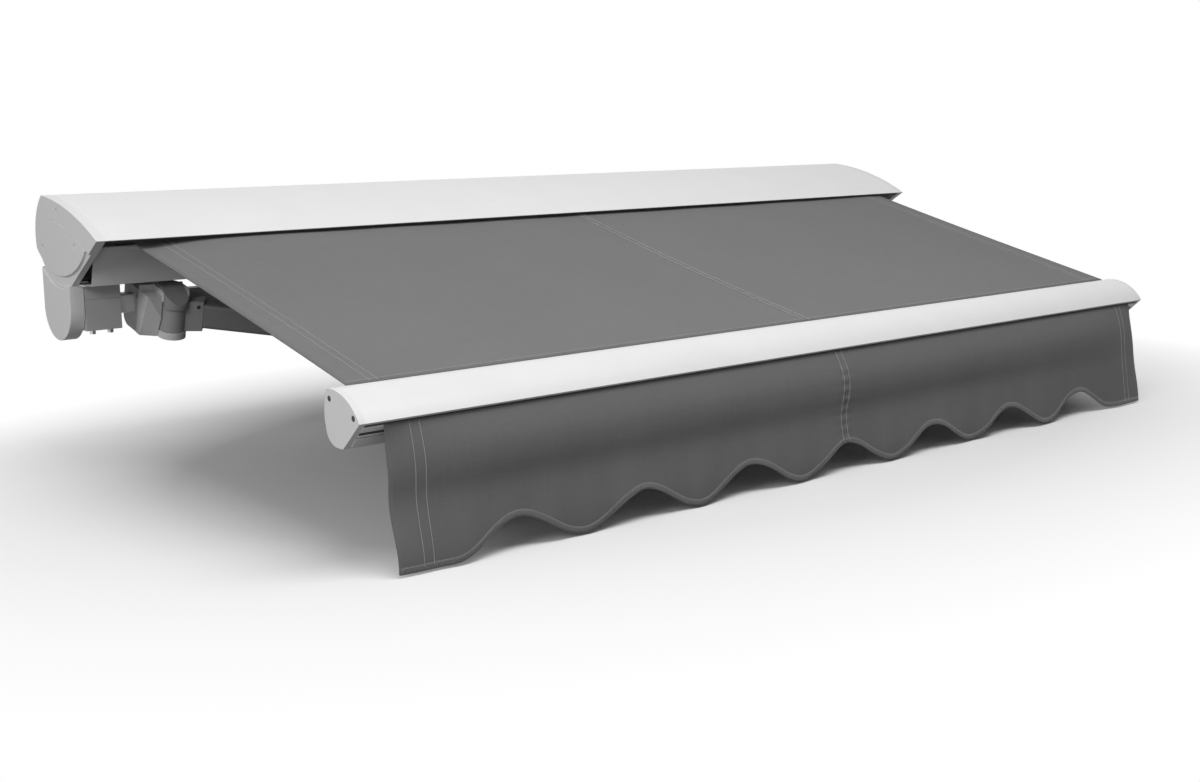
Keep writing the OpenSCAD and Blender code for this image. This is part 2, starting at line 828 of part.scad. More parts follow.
module ear_plan(r) {
    circle(r = r);
    translate([-r, 0]) square([2 * r, block_s - shoulder_s]);
}
// What lies under an arch of radius r over the shoulder.
module under_arch(r) {
    translate([-shoulder_x, shoulder_s + hood_peak, ear_top + hood_t - hood_r]) rotate([90, 0, 90])
        linear_extrude(far, center = true) {
            circle(r = r, $fn = 180);
            translate([-far / 2, -far]) square([far, far]);
        }
}
module shoulder_block_left() {
    shoulder_block();
}
module shoulder_block_right() {
    mirror([1, 0, 0]) shoulder_block();
}

// The cover over the upper ear: an arched band with a skirt round its front.
module shoulder_hood() {
    hood_back = 50;
    color("darkgray") slope_frame() difference() {
        intersection() {
            under_arch(hood_r);
            translate([-shoulder_x + 19 - hood_w, shoulder_s - far / 2, ear_top - hood_drop])
                cube([hood_w, far / 2 + hood_back, far]);
            translate([-shoulder_x, shoulder_s, ear_top - hood_drop - 1]) linear_extrude(far) {
                circle(r = ear_r + hood_wall);
                translate([-far, 0]) square([2 * far, far]);
            }
        }
        intersection() {
            under_arch(hood_r - hood_wall + 0.1);
            translate([-shoulder_x, shoulder_s, -far]) {
                cylinder(h = far, r = ear_r + 0.1);
                translate([-ear_r - 0.1, 0, 0]) cube([2 * ear_r + 0.2, far, far]);
            }
        }
    }
}
module shoulder_hood_left() {
    shoulder_hood();
}
module shoulder_hood_right() {
    mirror([1, 0, 0]) shoulder_hood();
}
module shoulder_pins() {
    color(steel) for (x = [-1, 1]) slope_frame()
        translate([x * shoulder_x, shoulder_s, ear_low]) {
            cylinder(h = ear_top - ear_low - 6, r = pin_r);
            translate([0, 0, -3]) cylinder(h = 3, r = pin_r + 4);
        }
}

// The left arm's frames: along a limb from its wall end, Y towards its tube's side.
module upper_frame() {
    slope_frame() translate([-shoulder_x, shoulder_s, -arm_n]) rotate([0, 0, upper_a]) children();
}
module fore_frame() {
    slope_frame() translate([elbow_pos[0], elbow_pos[1], -arm_n]) rotate([0, 0, fore_a]) children();
}
module far_end() {
    translate([limb, 0, 0]) mirror([1, 0, 0]) children();
}

// Plan of a casting: its knuckle and the neck that swings out to the tube's side.
module neck_plan(r, dip) {
    inner = tube_shift - tube_w / 2;
    outer = tube_shift + tube_w / 2;
    circle(r = r);
    polygon([[0, -0.64 * r], [dip, inner], [neck, inner], [neck, outer], [neck - 9, outer],
             [neck - 22, r], [0, r]]);
}
module tube_section(w) {
    rounded_rect(tube_w - 2 * w, tube_h - 2 * w, 8 - w);
}
module tube_run(from, length) {
    translate([from, tube_shift, 0]) rotate([90, 0, 90]) linear_extrude(length) children();
}
module limb_tube() {
    color(arm_grey) tube_run(neck, limb - 2 * neck) difference() {
        tube_section(0);
        tube_section(tube_wall);
    }
}
module spigot() {
    tube_run(neck - 1, spigot_l + 1) tube_section(tube_wall + 0.1);
}
module full_neck(r) {
    linear_extrude(knuckle_h, center = true) intersection() {
        neck_plan(r, clear_x);
        behind(clear_x + 2);
    }
}

// A casting with a single tongue that turns on its pin between two ears.
module tongue(r, height) {
    difference() {
        union() {
            linear_extrude(height, center = true) neck_plan(r, clear_x);
            full_neck(r);
            spigot();
        }
        cylinder(h = far, r = pin_r + run_gap, center = true);
    }
}

module shoulder_casting() {
    color(arm_grey) upper_frame() difference() {
        union() {
            linear_extrude(knuckle_h, center = true) neck_plan(shoulder_r, neck);
            spigot();
        }
        cylinder(h = far, r = pin_r + run_gap, center = true);
    }
}
module upper_tube() {
    upper_frame() limb_tube();
}
module elbow_fork() {
    color(arm_grey) upper_frame() far_end() difference() {
        union() {
            for (z = [-1, 1])
                translate([0, 0, z * (knuckle_h - small_ear_t) / 2])
                    linear_extrude(small_ear_t, center = true) neck_plan(small_ear_r, clear_x);
            full_neck(small_ear_r);
            spigot();
        }
        cylinder(h = far, r = pin_r + fit_gap, center = true);
        translate([clear_x, tube_shift - strap_t, -strap_h / 2 - 2]) cube([far, 2 * strap_t, strap_h + 4]);
    }
}
module elbow_pin() {
    color(steel) upper_frame() far_end() pivot_pin(knuckle_h);
}
module pivot_pin(height) {
    cylinder(h = height + 1, r = pin_r, center = true);
    for (z = [-1, 1])
        translate([0, 0, z * (height / 2 + 1.5)]) cylinder(h = 3, r = pin_r + 4, center = true);
}
module arm_spring() {
    color(steel) upper_frame() tube_run(neck + spigot_l + seat_gap, spring_l) difference() {
        circle(r = tube_w / 2 - tube_wall - seat_gap);
        circle(r = spring_bore);
    }
}
module tension_strap() {
    plug_x = neck + spigot_l + spring_l - 20;
    color("dimgray") upper_frame() {
        tube_run(plug_x, 20) circle(r = spring_bore - fit_gap);
        tube_run(plug_x, limb - elbow_r - 6 - plug_x) square([strap_t, strap_h], center = true);
    }
}
module elbow_knuckle() {
    color(arm_grey) fore_frame() tongue(elbow_r, tongue_h);
}
module fore_tube() {
    fore_frame() limb_tube();
}
module front_knuckle() {
    color(arm_grey) fore_frame() far_end() tongue(front_r, tongue_h - 2);
}
module right() {
    mirror([1, 0, 0]) children();
}

module shoulder_casting_left() { shoulder_casting(); }
module upper_arm_left() { upper_tube(); }
module elbow_fork_left() { elbow_fork(); }
module elbow_pin_left() { elbow_pin(); }
module arm_spring_left() { arm_spring(); }
module tension_strap_left() { tension_strap(); }
module elbow_knuckle_left() { elbow_knuckle(); }
module forearm_left() { fore_tube(); }
module front_knuckle_left() { front_knuckle(); }
module shoulder_casting_right() { right() shoulder_casting(); }
module upper_arm_right() { right() upper_tube(); }
module elbow_fork_right() { right() elbow_fork(); }
module elbow_pin_right() { right() elbow_pin(); }
module arm_spring_right() { right() arm_spring(); }
module tension_strap_right() { right() tension_strap(); }
module elbow_knuckle_right() { right() elbow_knuckle(); }
module forearm_right() { right() fore_tube(); }
module front_knuckle_right() { right() front_knuckle(); }

// The front bar's section, w inside its outside: top, back, cut face, foot.
module bar_area(w) {
    intersection() {
        translate(bar_top_c) circle(r = bar_top_r - w, $fn = 180);
        translate(bar_back_c) circle(r = bar_back_r - w, $fn = 180);
        rotate(-bar_cut) translate([-bar_d, w]) square([4 * bar_d, 3 * bar_d]);
        union() {
            translate([-bar_d, w - bar_drop]) square([bar_foot_c[0] + bar_d, 2 * bar_d]);
            translate([-bar_d, bar_foot_c[1]]) square([3 * bar_d, 2 * bar_d]);
            translate(bar_foot_c) circle(r = bar_foot_r - w, $fn = 96);
        }
    }
}

// The two grooves in the cut face and the one at the top corner.
module keder_centres() {
    rotate(-bar_cut) for (x = [groove_at, groove_at + groove_step]) translate([x, keder_r + 1.2]) children();
    translate(keder_top) rotate(keder_turn) children();
}
module keder_grooves() {
    keder_centres() {
        circle(r = keder_r);
        translate([-slot_w / 2, -bar_corner_z / 2]) square([slot_w, bar_corner_z / 2]);
    }
}
module bar_screw_centres() {
    translate(keder_top - [0, keder_in + bar_screw_r + 1.6]) children();
    rotate(-bar_cut) translate(tip_screw) children();
}
module front_bar_profile() {
    color(white) bar_along(2 * bar_cap_x) difference() {
        bar_area(0);
        difference() {
            bar_area(bar_wall);
            keder_centres() circle(r = keder_in);
            bar_screw_centres() circle(r = bar_screw_r + bar_wall);
            rotate(-bar_cut) translate([tip_screw[0] - bar_wall / 2, 0]) square([bar_wall, tip_screw[1]]);
            translate([bar_d / 2, -bar_d]) square([bar_wall, 2 * bar_d]);
        }
        keder_grooves();
        bar_screw_centres() circle(r = bar_screw_r + fit_gap);
    }
}
module bar_cap() {
    color(light_grey) difference() {
        bar_along(bar_cap_t, bar_cap_x + bar_cap_t / 2) bar_area(0);
        bar_along(2 * bar_cap_t, bar_cap_x) bar_screw_centres() circle(r = bar_screw_r + fit_gap);
        bar_along(4, bar_w / 2) bar_screw_centres() circle(r = 2 * bar_screw_r + seat_gap);
    }
}
module front_bar_cap_right() {
    bar_cap();
}
module front_bar_cap_left() {
    mirror([1, 0, 0]) bar_cap();
}
module front_cap_screws() {
    color(steel) for (side_x = [0, 1]) mirror([side_x, 0, 0]) {
        bar_along(bar_cap_t + 18, bar_w / 2 - bar_cap_t / 2 - 10)
            bar_screw_centres() circle(r = bar_screw_r);
        bar_along(1.6, bar_w / 2 - 1.2) bar_screw_centres() difference() {
            circle(r = 2 * bar_screw_r);
            circle(r = 0.8 * bar_screw_r, $fn = 6);
        }
    }
}

// The drop bracket under the front bar: foot, hanger plate, gussets and two ears.
module front_bracket() {
    half = knuckle_h / 2 - 1;
    plate_s = -front_ear_r - 3;
    flat_y = bar_drop / tan(bar_cut);
    mid_s = front_pivot + plate_s - hanger_t / 2;
    top_n = (-bar_drop - foot_t / 2 - mid_s * sin(pitch)) / cos(pitch);
    color(arm_grey) {
        bar_along(hanger_w + 26, -shoulder_x)
            translate([flat_y - 14, -bar_drop - foot_t]) square([40, foot_t]);
        slope_frame() translate([-shoulder_x, front_s, -arm_n]) {
            difference() {
                for (z = [-1, 1])
                    translate([0, 0, z * (half - small_ear_t / 2)])
                        linear_extrude(small_ear_t, center = true) {
                            circle(r = front_ear_r);
                            translate([-front_ear_r, plate_s - 1]) square([2 * front_ear_r, 1 - plate_s]);
                        }
                cylinder(h = far, r = pin_r + fit_gap, center = true);
            }
            translate([-hanger_w / 2, plate_s - hanger_t, -half])
                cube([hanger_w, hanger_t, arm_n + half - bar_tip_n + top_n]);
            for (x = [-hanger_w / 2 + 2, hanger_w / 2 - 8])
                translate([x, 0, 0]) rotate([90, 0, 90]) linear_extrude(6)
                    polygon([[plate_s - 1, half - 1], [-pin_r - 6, half - 1], [plate_s - 1, half + 60]]);
        }
    }
}
module front_bracket_left() {
    front_bracket();
}
module front_bracket_right() {
    mirror([1, 0, 0]) front_bracket();
}
module front_pins() {
    color(steel) for (x = [-1, 1])
        slope_frame() translate([x * shoulder_x, front_s, -arm_n]) pivot_pin(knuckle_h - 2);
}

// The rods in the cloth's hems, with the hems' necks out through the slots.
module keder_rods() {
    color("dimgray") {
        bar_along(valance_w) rotate(-bar_cut) translate([groove_at, keder_r + 1.2]) keder(keder_r + 1.2);
        bar_along(cloth_w) translate(keder_top) rotate(keder_turn) keder(norm(bar_corner - keder_top));
    }
}
module keder(neck_l) {
    circle(r = keder_r - seat_gap);
    translate([-slot_w / 2 + seat_gap, -neck_l]) square([slot_w - 2 * seat_gap, neck_l]);
}

// The valance's fall: forward over its top part, then nearly straight.
function valance_y(d) = -valance_lean * sin(90 * min(d / valance_roll, 1)) - valance_slant * d / valance_h;
function wave(x) = abs(x + scallop_shift) > (notches + 0.5) * scallop_pitch ? 0
    : scallop_h / 2 * (1 + cos(360 * (x + scallop_shift) / scallop_pitch));
module valance() {
    half_wave = (notches + 0.5) * scallop_pitch;
    drops = [for (i = [0:12]) valance_h * i / 12];
    top = [cos(bar_cut) * groove_at - valance_t / 2,
           -(cos(bar_cut) * groove_at + valance_t / 2) * tan(bar_cut) - 0.4];
    tip = from_slope(bar_tip);
    wave_x = [for (i = [0:16 * (2 * notches + 1)]) -scallop_shift - half_wave + scallop_pitch * i / 16];
    color("dimgray") intersection() {
        bar_along(valance_w) translate(top) polygon(concat(
            [for (d = drops) [valance_y(d), -d]],
            [for (i = [0:12]) [valance_y(drops[12 - i]) + valance_t, -drops[12 - i]]]));
        translate(lip + [0, tip[0], tip[1] + top[1] - valance_h]) rotate([90, 0, 0])
            linear_extrude(2 * far, center = true) polygon(concat(
                [for (x = wave_x) [x, wave(x)]],
                [[valance_w, 0], [valance_w, far], [-valance_w, far], [-valance_w, 0]]));
    }
}

// The cloth, from the top of the roller to the groove of the front bar.
module canopy() {
    color(cloth_grey) slope_frame() translate([-cloth_w / 2, cloth_front, cloth_n])
        cube([cloth_w, cloth_back - cloth_front, cloth_t]);
}

wall_bracket_left();
wall_bracket_right();
bracket_clamp_left();
bracket_clamp_right();
clamp_bolts();
torsion_bar();
bar_end_cover_left();
bar_end_cover_right();
cassette_back_profile();
cassette_top_cover();
cassette_lower_shell();
cassette_lip_seal();
cassette_end_cap_left();
cassette_end_cap_right();
end_cap_screws();
arm_bracket_left();
arm_bracket_right();
shoulder_block_left();
shoulder_block_right();
shoulder_hood_left();
shoulder_hood_right();
shoulder_pins();
block_bolts();
motor_body();
motor_head();
idler_bracket();
roller_tube();
drive_adapter();
crown_ring();
idler_plug();
idler_bearing();
cloth_roll();
shoulder_casting_left();
upper_arm_left();
elbow_fork_left();
elbow_pin_left();
arm_spring_left();
tension_strap_left();
elbow_knuckle_left();
forearm_left();
front_knuckle_left();
shoulder_casting_right();
upper_arm_right();
elbow_fork_right();
elbow_pin_right();
arm_spring_right();
tension_strap_right();
elbow_knuckle_right();
forearm_right();
front_knuckle_right();
front_bar_profile();
front_bar_cap_left();
front_bar_cap_right();
front_cap_screws();
front_bracket_left();
front_bracket_right();
front_pins();
keder_rods();
valance();
canopy();
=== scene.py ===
"""Finish of a folding-arm awning with a closed cassette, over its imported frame."""

import math

import bpy
from mathutils import Matrix, Vector
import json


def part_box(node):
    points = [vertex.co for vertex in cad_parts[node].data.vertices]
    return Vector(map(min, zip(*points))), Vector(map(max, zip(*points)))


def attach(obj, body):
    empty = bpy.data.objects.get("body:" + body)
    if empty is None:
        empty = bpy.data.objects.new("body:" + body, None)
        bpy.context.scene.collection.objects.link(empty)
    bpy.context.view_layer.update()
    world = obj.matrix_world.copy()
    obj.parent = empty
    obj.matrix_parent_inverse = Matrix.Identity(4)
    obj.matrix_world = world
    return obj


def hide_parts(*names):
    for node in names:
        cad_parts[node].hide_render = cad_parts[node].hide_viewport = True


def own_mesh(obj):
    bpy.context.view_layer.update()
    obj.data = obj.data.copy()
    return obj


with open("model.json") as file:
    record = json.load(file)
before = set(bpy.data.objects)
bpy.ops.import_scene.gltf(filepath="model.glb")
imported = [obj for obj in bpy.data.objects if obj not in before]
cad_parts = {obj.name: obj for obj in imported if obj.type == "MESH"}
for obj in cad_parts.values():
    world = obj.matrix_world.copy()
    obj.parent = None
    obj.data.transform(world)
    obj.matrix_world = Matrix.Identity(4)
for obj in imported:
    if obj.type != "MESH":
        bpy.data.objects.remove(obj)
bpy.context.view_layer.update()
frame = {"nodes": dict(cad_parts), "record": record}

# Driving places and sizes, in metres, as the frame has them.
LIP = Vector((0.0, -0.320, 0.140))
PITCH = math.radians(14)
CLOTH_LOW, CLOTH_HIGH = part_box("canopy")
VALANCE_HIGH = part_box("valance")[1]
ROLL_LOW, ROLL_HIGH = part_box("cloth_roll")
BAR_LOW, BAR_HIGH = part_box("front_bar_profile")
CLOTH_HALF = CLOTH_HIGH[0]
VALANCE_HALF = VALANCE_HIGH[0]
THREAD = 0.0005  # width of one woven thread
STITCH_LONG, STITCH_PITCH = 0.0034, 0.0042
STITCH_R, FINE_STITCH_R = 0.00042, 0.0004


def slope_point(x, s, n):
    """A point given along the cloth's slope (s, up towards the wall) and square to it (n)."""
    return LIP + Vector((x, s * math.cos(PITCH) - n * math.sin(PITCH),
                         s * math.sin(PITCH) + n * math.cos(PITCH)))


def slope_of(point):
    """The (s, n) of a point."""
    q = Vector(point) - LIP
    return (q.y * math.cos(PITCH) + q.z * math.sin(PITCH), q.z * math.cos(PITCH) - q.y * math.sin(PITCH))


def smooth_step(t):
    t = min(max(t, 0.0), 1.0)
    return t * t * (3 - 2 * t)


def spaced(x0, x1, step):
    """Even places from x0 to x1, about a step apart."""
    count = max(2, round((x1 - x0) / step))
    return [x0 + (x1 - x0) * i / count for i in range(count + 1)]


SLOPE = Vector((0.0, math.cos(PITCH), math.sin(PITCH)))
NORMAL = Vector((0.0, -math.sin(PITCH), math.cos(PITCH)))


# Materials

def new_material(name):
    material = bpy.data.materials.new(name)
    material.use_nodes = True
    tree = material.node_tree
    return material, tree, tree.nodes["Principled BSDF"]


def node(tree, kind, inputs=None, **settings):
    """A shader node with its settings and its inputs, which are values or other sockets."""
    made = tree.nodes.new(kind)
    for key, value in settings.items():
        setattr(made, key, value)
    for key, value in (inputs or {}).items():
        if isinstance(value, bpy.types.NodeSocket):
            tree.links.new(value, made.inputs[key])
        else:
            made.inputs[key].default_value = value
    return made


def noise(tree, scale, detail=3.0, rough=0.5, stretch=(1, 1, 1)):
    """Noise over the object's own coordinates; scale is in features per metre."""
    place = tree.nodes.new("ShaderNodeTexCoord").outputs["Object"]
    mapped = node(tree, "ShaderNodeMapping", {"Vector": place, "Scale": stretch})
    return node(tree, "ShaderNodeTexNoise", {"Vector": mapped.outputs["Vector"], "Scale": scale,
                                             "Detail": detail, "Roughness": rough}).outputs["Fac"]


def ramp(tree, value, low, high, out_low, out_high):
    """The value's range low to high spread over out_low to out_high."""
    return node(tree, "ShaderNodeMapRange", {"Value": value, "From Min": low, "From Max": high,
                                             "To Min": out_low, "To Max": out_high}).outputs["Result"]


def shade(tree, colour, amount):
    """A colour made lighter or darker by an amount about 1."""
    return node(tree, "ShaderNodeMix", {"Factor": 1.0, "A": (*colour, 1.0), "B": amount},
                data_type="RGBA", blend_type="MULTIPLY").outputs["Result"]


def maths(tree, kind, a, b):
    """The result of a Math node of this kind."""
    return node(tree, "ShaderNodeMath", {0: a, 1: b}, operation=kind).outputs["Value"]


def bump(tree, height, strength, distance, under=None):
    """A normal with a fine relief, on top of another one if that is given."""
    inputs = {"Height": height, "Strength": strength, "Distance": distance}
    if under is not None:
        inputs["Normal"] = under
    return node(tree, "ShaderNodeBump", inputs).outputs["Normal"]


def grey(value):
    return (value, value, value)


def wire(tree, shader, value, tone, normal, rough=None):
    """Gives the shader a grey made lighter or darker by a tone, a normal, and a roughness."""
    tree.links.new(shade(tree, grey(value), tone), shader.inputs["Base Color"])
    tree.links.new(normal, shader.inputs["Normal"])
    if rough is not None:
        tree.links.new(rough, shader.inputs["Roughness"])


def coated_metal(name, value, rough, grain=1100.0, grain_depth=0.00004, wear=0.04):
    """Powder coat: an orange-peel grain, a little unevenness, and edges rubbed a shade lighter."""
    material, tree, shader = new_material(name)
    peel = noise(tree, grain, 2.0)
    cloud = noise(tree, 7.0, 4.0, 0.6)
    edge = node(tree, "ShaderNodeNewGeometry").outputs["Pointiness"]
    rub = ramp(tree, edge, 0.52, 0.62, 1.0, 1.0 + wear)
    tone = maths(tree, "MULTIPLY", ramp(tree, cloud, 0.3, 0.7, 0.975, 1.02), rub)
    wire(tree, shader, value, tone, bump(tree, peel, 0.35, grain_depth),
         ramp(tree, cloud, 0.3, 0.7, rough - 0.05, rough + 0.06))
    shader.inputs["Specular IOR Level"].default_value = 0.45
    return material


def moulded_plastic(name, value, rough, grain=800.0):
    """Moulded plastic with an eroded grain."""
    material, tree, shader = new_material(name)
    fine = noise(tree, grain, 4.0, 0.65)
    cloud = noise(tree, 12.0, 3.0)
    wire(tree, shader, value, ramp(tree, cloud, 0.3, 0.7, 0.93, 1.05), bump(tree, fine, 0.5, 0.00008),
         ramp(tree, fine, 0.3, 0.7, rough - 0.06, rough + 0.08))
    return material


def bare_metal(name, value, rough):
    """Zinc or stainless steel with drawn streaks along the width."""
    material, tree, shader = new_material(name)
    streak = noise(tree, 900.0, 3.0, 0.6, (0.02, 1, 1))
    cloud = noise(tree, 30.0, 4.0)
    wire(tree, shader, value, ramp(tree, cloud, 0.3, 0.7, 0.9, 1.05), bump(tree, streak, 0.3, 0.00003),
         ramp(tree, streak, 0.3, 0.7, rough - 0.08, rough + 0.12))
    shader.inputs["Metallic"].default_value = 1.0
    return material


def rubber(name, value):
    material, tree, shader = new_material(name)
    fine = noise(tree, 1500.0, 3.0)
    wire(tree, shader, value, ramp(tree, fine, 0.3, 0.7, 0.85, 1.15), bump(tree, fine, 0.4, 0.00005))
    shader.inputs["Roughness"].default_value = 0.75
    return material


def woven_cloth(name, value, across, along):
    """Plain-woven acrylic: crossing threads, slubs along both threads, and a soft sheen."""
    material, tree, shader = new_material(name)
    place = tree.nodes.new("ShaderNodeTexCoord").outputs["Object"]

    def threads(direction):
        line = node(tree, "ShaderNodeVectorMath", {0: place, 1: direction}, operation="DOT_PRODUCT")
        turn = maths(tree, "MULTIPLY", line.outputs["Value"], math.pi / THREAD)
        return maths(tree, "SINE", turn, 0.0)

    warp, weft = threads(across), threads(along)
    crossing = maths(tree, "MULTIPLY", warp, weft)
    slub_a = noise(tree, 420.0, 3.0, 0.55, (1, 0.05, 0.05))
    slub_b = noise(tree, 420.0, 3.0, 0.55, (0.05, 1, 1))
    cloud = noise(tree, 3.0, 5.0, 0.6)
    slubs = maths(tree, "ADD", slub_a, slub_b)
    tone = maths(tree, "MULTIPLY", ramp(tree, slubs, 0.75, 1.25, 0.955, 1.045),
                      ramp(tree, cloud, 0.3, 0.7, 0.975, 1.025))
    tone = maths(tree, "MULTIPLY", tone, ramp(tree, crossing, -1.0, 1.0, 0.93, 1.05))
    weave = bump(tree, crossing, 0.35, 0.00008)
    wire(tree, shader, value, tone, bump(tree, slubs, 0.25, 0.00015, weave))
    shader.inputs["Roughness"].default_value = 0.88
    shader.inputs["Sheen Weight"].default_value = 0.12
    shader.inputs["Sheen Roughness"].default_value = 0.5
    shader.inputs["Specular IOR Level"].default_value = 0.2
    return material


X_AXIS = (1.0, 0.0, 0.0)
WHITE_COAT = coated_metal("white_coat", 0.83, 0.40)
CAP_COAT = coated_metal("cap_coat", 0.80, 0.46, 1300.0, 0.00006)
BRACKET_COAT = coated_metal("bracket_coat", 0.50, 0.50, 900.0, 0.00006)
CAST_COAT = coated_metal("cast_coat", 0.47, 0.52, 700.0, 0.0001, 0.08)
# A lighter copy of the casting coat for the shoulder blocks: painted light.
LIT_BLOCK_COAT = coated_metal("lit_block_coat", 0.70, 0.50, 700.0, 0.0001, 0.08)
# A darker copy of the casting coat for the root castings, knuckles and hole rims: painted shade.
SHADED_ROOT_COAT = coated_metal("shaded_root_coat", 0.34, 0.50, 700.0, 0.0001, 0.08)
# A near-black grey for the arms, darkened to paint the shade the canopy casts on them.
SHADED_ARM_COAT = coated_metal("arm_coat", 0.15, 0.42)
HOOD = moulded_plastic("hood", 0.30, 0.42)
DARK = moulded_plastic("dark_moulding", 0.035, 0.5)
# Near-black rubber for the real seals; it also paints the shade in the bar's grooves and in the casting
# holes.
SEAL_AND_PAINTED_SHADE = rubber("seal", 0.02)
ZINC = bare_metal("zinc", 0.62, 0.42)
BRIGHT = bare_metal("bright", 0.68, 0.30)
CANOPY_CLOTH = woven_cloth("canopy_cloth", 0.185, X_AXIS, tuple(SLOPE))
VALANCE_CLOTH = woven_cloth("valance_cloth", 0.16, X_AXIS, (0.0, 0.0, 1.0))
STITCH = woven_cloth("stitch_thread", 0.62, X_AXIS, tuple(SLOPE))
HEM_THREAD = woven_cloth("hem_thread", 0.47, X_AXIS, tuple(SLOPE))
EDGE_THREAD = woven_cloth("edge_thread", 0.26, X_AXIS, tuple(SLOPE))

SLOT_MATERIAL = {
    "white_powder_coat": WHITE_COAT, "grey_moulding": CAP_COAT, "bracket_coat": BRACKET_COAT,
    "casting_coat": CAST_COAT, "arm_coat": SHADED_ARM_COAT, "hood_plastic": HOOD, "soft_seal": SEAL_AND_PAINTED_SHADE,
    "dark_plastic": DARK, "awning_cloth": CANOPY_CLOTH, "valance_cloth": VALANCE_CLOTH,
    "zinc_steel": ZINC, "bright_steel": BRIGHT,
}
BEVEL = {"casting_coat": 0.0018, "bracket_coat": 0.0010, "grey_moulding": 0.0014, "hood_plastic": 0.0014,
         "white_powder_coat": 0.0005, "arm_coat": 0.0006, "bright_steel": 0.0004}
NODE_MATERIAL = {"end_cap_screws": CAP_COAT, "front_cap_screws": DARK}
# The shoulder blocks take the lit copy of the casting coat, and the root castings and knuckles take the
# shaded copy: painted light and shade.
for hand in ("left", "right"):
    NODE_MATERIAL["shoulder_block_" + hand] = LIT_BLOCK_COAT
    for casting in ("shoulder_casting", "elbow_fork", "elbow_knuckle", "front_knuckle"):
        NODE_MATERIAL[f"{casting}_{hand}"] = SHADED_ROOT_COAT
WELD, FLAT_ANGLE, EDGE_ANGLE = 0.00001, math.radians(0.1), math.radians(30)


def dress_cad():
    """Gives each carried-over solid its material, rounded edges and smooth curved faces."""
    slots = {part["node"]: part["material_slot"] for part in frame["record"]["subparts"]}
    for name, solid in frame["nodes"].items():
        solid.data.materials.clear()
        solid.data.materials.append(NODE_MATERIAL.get(name, SLOT_MATERIAL[slots[name]]))
        if slots[name] in BEVEL:
            solid.modifiers.new("joined", "WELD").merge_threshold = WELD
            flat = solid.modifiers.new("flat", "DECIMATE")
            flat.decimate_type = "DISSOLVE"
            flat.angle_limit = FLAT_ANGLE
            edge = solid.modifiers.new("edge", "BEVEL")
            edge.width = BEVEL[slots[name]]
            edge.segments = 2
            edge.limit_method = "ANGLE"
            edge.angle_limit = EDGE_ANGLE
            edge.use_clamp_overlap = True
            edge.miter_outer = "MITER_ARC"
            smooth = solid.modifiers.new("smooth", "WEIGHTED_NORMAL")
            smooth.weight = 60


def add_mesh(name, points, faces, material, body, smooth=True):
    """A mesh object that rides on a body."""
    mesh = bpy.data.meshes.new(name)
    mesh.from_pydata([tuple(p) for p in points], [], faces)
    mesh.materials.append(material)
    mesh.update()
    if smooth:
        mesh.polygons.foreach_set("use_smooth", [True] * len(mesh.polygons))
    piece = bpy.data.objects.new(name, mesh)
    bpy.context.scene.collection.objects.link(piece)
    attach(piece, body)
    return piece


def grid_solid(front, back):
    """Points and faces of a closed thin solid between two equal grids of points (rows of columns)."""
    rows, columns = len(front), len(front[0])
    points = [p for grid in (front, back) for row in grid for p in row]
    count = rows * columns
    faces = []
    for i in range(rows - 1):
        for j in range(columns - 1):
            a = i * columns + j
            quad = (a, a + 1, a + columns + 1, a + columns)
            faces.append(quad)
            faces.append(tuple(count + k for k in reversed(quad)))
    rim = [j for j in range(columns)] + [i * columns + columns - 1 for i in range(1, rows)]
    rim += [(rows - 1) * columns + j for j in range(columns - 2, -1, -1)]
    rim += [i * columns for i in range(rows - 2, 0, -1)]
    for a, b in zip(rim, rim[1:] + rim[:1]):
        faces.append((b, a, a + count, b + count))
    return points, faces


# Each ring of a stitch: its place along it, its lift and its width.
STITCH_RINGS = ((-0.5, -0.3, 0.55), (-0.3, 0.6, 1.0), (0.3, 0.6, 1.0), (0.5, -0.3, 0.55))


def stitches(name, path, material, body, length, pitch, radius, normal, turn=0.0):
    """A row of stitches along a path: short rounded threads that dip into the cloth at their ends. The normal
    is a vector or a function of the place, and turn is the angle between a thread and the path."""
    points, faces = [], []
    travelled, next_at = 0.0, pitch / 2
    for a, b in zip(path, path[1:]):
        span = (b - a).length
        along = (b - a).normalized() if span > 0 else None
        while along is not None and next_at <= travelled + span:
            centre = a + along * (next_at - travelled)
            up = normal(centre) if callable(normal) else normal
            direction = Matrix.Rotation(turn, 3, up) @ along
            side = up.cross(direction).normalized()
            first = len(points)
            for t, lift, wide in STITCH_RINGS:
                core = centre + direction * (t * length) + up * (lift * radius)
                for angle in (0, 60, 120, 180, 240, 300):
                    c, s = math.cos(math.radians(angle)), math.sin(math.radians(angle))
                    points.append(core + (side * c + up * s) * radius * wide)
            for ring in range(3):
                for k in range(6):
                    m = (k + 1) % 6
                    low = first + ring * 6
                    faces.append((low + k, low + m, low + 6 + m, low + 6 + k))
            faces.append(tuple(first + k for k in reversed(range(6))))
            faces.append(tuple(first + 18 + k for k in range(6)))
            next_at += pitch
        travelled += span
    return add_mesh(name, points, faces, material, body)


# Canopy

CLOTH_T = 0.0010
CLOTH_FRONT = slope_of(CLOTH_LOW)[0]
CLOTH_BACK, CLOTH_TOP = slope_of(CLOTH_HIGH)
CLOTH_N = CLOTH_TOP - CLOTH_T / 2
CLOTH_RUN = (CLOTH_BACK - CLOTH_FRONT) / -CLOTH_FRONT  # its whole length against the part before the lip
CLOTH_SEAM = -0.008
HEM = 0.070
HEM_ROWS = (("outer", 0.050), ("inner", 0.066))  # insets of the stitch rows
LAP_HALF, LAP_ROW = 0.011, 0.0085
FRONT_ROW = 0.012
LAP_T, HEM_T, SUNK = 0.0006, 0.0008, 0.0002  # what a second layer adds, and how far it reaches into the first
ROW_END = 0.004  # from a row's end to the cloth's end
BELLY = 0.0075
SLACK, SLACK_WIDTH = 0.0165, 0.10


